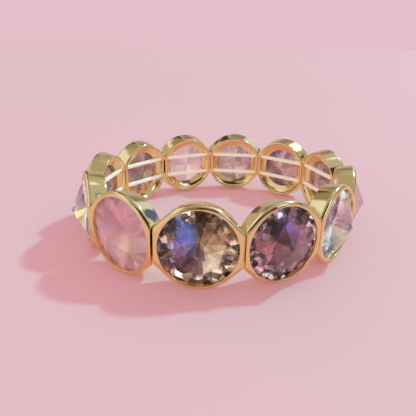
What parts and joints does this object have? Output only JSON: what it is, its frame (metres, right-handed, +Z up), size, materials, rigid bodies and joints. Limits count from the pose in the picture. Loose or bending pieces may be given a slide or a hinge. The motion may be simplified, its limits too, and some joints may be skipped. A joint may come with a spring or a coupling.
{
  "type": "stretch bracelet",
  "caption": "Stretch bracelet: round polished cup settings hold pointed faceted stones and run on parallel elastic cords round the wrist.",
  "frame": {"origin": "on the surface that the bracelet lies on, at the middle of the ring", "axes": "+Z up along the wrist opening's axis, the first setting faces -Y and the next one is towards +X"},
  "size_m": [0.0706, 0.0716, 0.0175],
  "materials": {
    "setting": "polished",
    "stone_champagne": "clear, faceted",
    "stone_amethyst": "clear, faceted",
    "stone_clear": "clear, faceted",
    "stone_rose": "milky, faceted",
    "elastic": "translucent white"
  },
  "bodies": {
    "root": {"bezel_01": "setting", "bezel_02": "setting", "bezel_03": "setting", "bezel_04": "setting", "bezel_05": "setting", "bezel_06": "setting", "bezel_07": "setting", "bezel_08": "setting", "bezel_09": "setting", "bezel_10": "setting", "bezel_11": "setting", "bezel_12": "setting", "stone_01": "stone_champagne", "stone_02": "stone_amethyst", "stone_03": "stone_clear", "stone_04": "stone_rose", "stone_05": "stone_champagne", "stone_06": "stone_amethyst", "stone_07": "stone_clear", "stone_08": "stone_rose", "stone_09": "stone_champagne", "stone_10": "stone_amethyst", "stone_11": "stone_clear", "stone_12": "stone_rose", "elastic_upper": "elastic", "elastic_lower": "elastic"}
  },
  "joints": []
}
